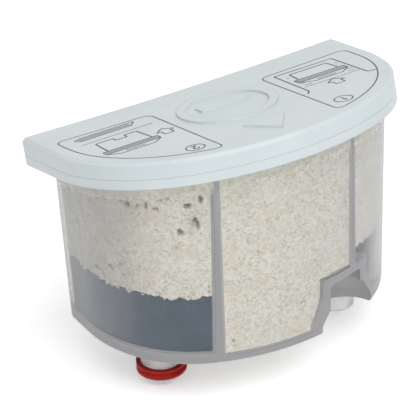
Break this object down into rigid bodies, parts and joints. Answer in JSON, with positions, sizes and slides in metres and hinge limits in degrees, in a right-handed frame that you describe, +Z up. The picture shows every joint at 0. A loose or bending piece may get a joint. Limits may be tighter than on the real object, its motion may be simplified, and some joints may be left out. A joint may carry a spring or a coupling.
{
  "type": "steam iron descaling cartridge",
  "caption": "D-shaped translucent water-softening cartridge for a steam iron, with a pitched lid, granule chambers, foam filters, a keying notch and two plug-in spigots.",
  "frame": {"origin": "middle of the tank's flat underside, on the line between the two spigots' axes", "axes": "+X from the inlet spigot to the outlet spigot, +Y towards the flat back, +Z up towards the lid"},
  "size_m": [0.11, 0.0714, 0.0906],
  "materials": {
    "clear_plastic": "translucent moulded, slightly milky",
    "lid_plastic": "satin, pale blue-grey",
    "filter_foam": "open-cell foam, slate blue",
    "resin_granules": "cream granules, packed",
    "seal_rubber": "smooth red silicone"
  },
  "bodies": {
    "root": {"tank": "clear_plastic", "lid_base": "lid_plastic", "lid_cover": "lid_plastic", "filter_left": "filter_foam", "filter_right": "filter_foam", "resin_left": "resin_granules", "resin_middle": "resin_granules", "resin_right": "resin_granules", "seal_ring": "seal_rubber"}
  },
  "joints": []
}
